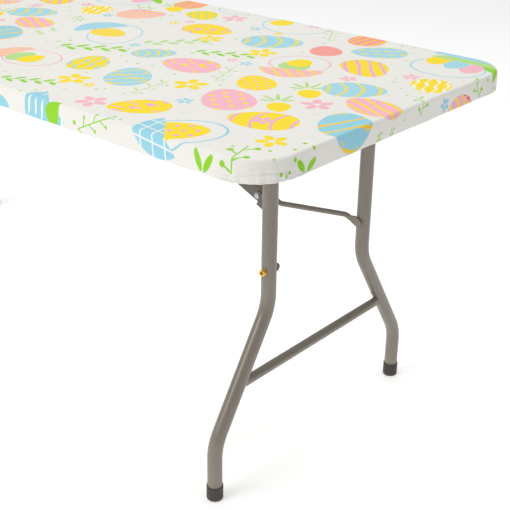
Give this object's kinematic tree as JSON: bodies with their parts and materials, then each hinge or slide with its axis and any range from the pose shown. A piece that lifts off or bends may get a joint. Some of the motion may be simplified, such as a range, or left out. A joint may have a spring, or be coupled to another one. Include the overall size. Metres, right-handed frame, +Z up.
{
  "type": "folding table with fitted tablecloth",
  "caption": "Rectangular folding table under a fitted elastic-hemmed tablecloth printed with eggs, baskets and flowers, on two braced tubular leg frames.",
  "frame": {"origin": "on the floor, under the middle of the table", "axes": "+X along the table's length, +Y across its width, +Z up"},
  "size_m": [1.829, 0.762, 0.737],
  "materials": {
    "cloth": "printed flannel-backed vinyl cloth, egg, basket and flower print on warm white",
    "hem": "plain white hem tape over elastic",
    "elastic": "white braided elastic",
    "moulding": "textured blow-moulded polyethylene",
    "frame_paint": "taupe-grey powder coat, semi-gloss",
    "brace_paint": "darker grey powder coat, semi-gloss",
    "cap": "black-brown moulded foot cap",
    "plug": "black plastic plug",
    "zinc": "bright zinc",
    "yellow_zinc": "yellow passivated zinc",
    "cap_nut": "black domed nut cover"
  },
  "bodies": {
    "table_top": {"tabletop_panel": "moulding", "cloth_cover": "cloth", "hem_casing": "hem", "elastic_band": "elastic", "front_rail": "frame_paint", "back_rail": "frame_paint", "rail_screws": "zinc", "saddle_screws": "zinc", "hanger_screws": "zinc", "right_front_saddle": "brace_paint", "right_back_saddle": "brace_paint", "left_front_saddle": "brace_paint", "left_back_saddle": "brace_paint", "right_hanger": "brace_paint", "left_hanger": "brace_paint", "right_hanger_pin": "zinc", "left_hanger_pin": "zinc"},
    "right_leg_frame": {"right_pivot_tube": "frame_paint", "right_pivot_plugs": "plug", "right_front_leg": "frame_paint", "right_back_leg": "frame_paint", "right_crossbar": "frame_paint", "right_front_foot_cap": "cap", "right_back_foot_cap": "cap", "right_front_leg_bolt": "yellow_zinc", "right_back_leg_rivet": "frame_paint"},
    "right_upper_link": {"right_upper_brace": "brace_paint", "right_elbow_rivet": "zinc"},
    "right_lower_link": {"right_front_brace_arm": "frame_paint", "right_back_brace_arm": "frame_paint", "right_front_cap_nut": "cap_nut", "right_back_arm_rivet": "frame_paint"},
    "right_ring": {"right_lock_ring": "brace_paint"},
    "left_leg_frame": {"left_pivot_tube": "frame_paint", "left_pivot_plugs": "plug", "left_front_leg": "frame_paint", "left_back_leg": "frame_paint", "left_crossbar": "frame_paint", "left_front_foot_cap": "cap", "left_back_foot_cap": "cap", "left_front_leg_bolt": "yellow_zinc", "left_back_leg_rivet": "frame_paint"},
    "left_upper_link": {"left_upper_brace": "brace_paint", "left_elbow_rivet": "zinc"},
    "left_lower_link": {"left_front_brace_arm": "frame_paint", "left_back_brace_arm": "frame_paint", "left_front_cap_nut": "cap_nut", "left_back_arm_rivet": "frame_paint"},
    "left_ring": {"left_lock_ring": "brace_paint"}
  },
  "joints": [
    {"name": "right_leg_fold", "type": "hinge", "parent": "table_top", "child": "right_leg_frame", "pos_m": [0.7435, 0, 0.69], "axis": [0, 1, 0], "range_deg": [0, 87]},
    {"name": "right_upper_link_swing", "type": "hinge", "parent": "table_top", "child": "right_upper_link", "pos_m": [0.13, 0, 0.702], "axis": [0, 1, 0], "range_deg": [-22.8, 0]},
    {"name": "right_elbow", "type": "hinge", "parent": "right_upper_link", "child": "right_lower_link", "pos_m": [0.59837, 0, 0.49434], "axis": [0, 1, 0], "range_deg": [0, 174.3]},
    {"name": "right_lock_ring_slide", "type": "slide", "parent": "right_upper_link", "child": "right_ring", "axis": [-0.9142, 0, 0.4053], "range_m": [0, 0.3505]},
    {"name": "left_leg_fold", "type": "hinge", "parent": "table_top", "child": "left_leg_frame", "pos_m": [-0.7435, 0, 0.69], "axis": [0, -1, 0], "range_deg": [0, 87]},
    {"name": "left_upper_link_swing", "type": "hinge", "parent": "table_top", "child": "left_upper_link", "pos_m": [-0.13, 0, 0.702], "axis": [0, -1, 0], "range_deg": [-22.8, 0]},
    {"name": "left_elbow", "type": "hinge", "parent": "left_upper_link", "child": "left_lower_link", "pos_m": [-0.59837, 0, 0.49434], "axis": [0, -1, 0], "range_deg": [0, 174.3]},
    {"name": "left_lock_ring_slide", "type": "slide", "parent": "left_upper_link", "child": "left_ring", "axis": [0.9142, 0, 0.4053], "range_m": [0, 0.3505]}
  ],
  "couplings": [
    {"joint": "right_upper_link_swing", "follows": "right_leg_fold", "ratio": -0.25736},
    {"joint": "right_elbow", "follows": "right_leg_fold", "ratio": 2.0016},
    {"joint": "right_lock_ring_slide", "follows": "right_leg_fold", "m_per_rad": 0.2305},
    {"joint": "left_upper_link_swing", "follows": "left_leg_fold", "ratio": -0.25736},
    {"joint": "left_elbow", "follows": "left_leg_fold", "ratio": 2.0016},
    {"joint": "left_lock_ring_slide", "follows": "left_leg_fold", "m_per_rad": 0.2305}
  ]
}
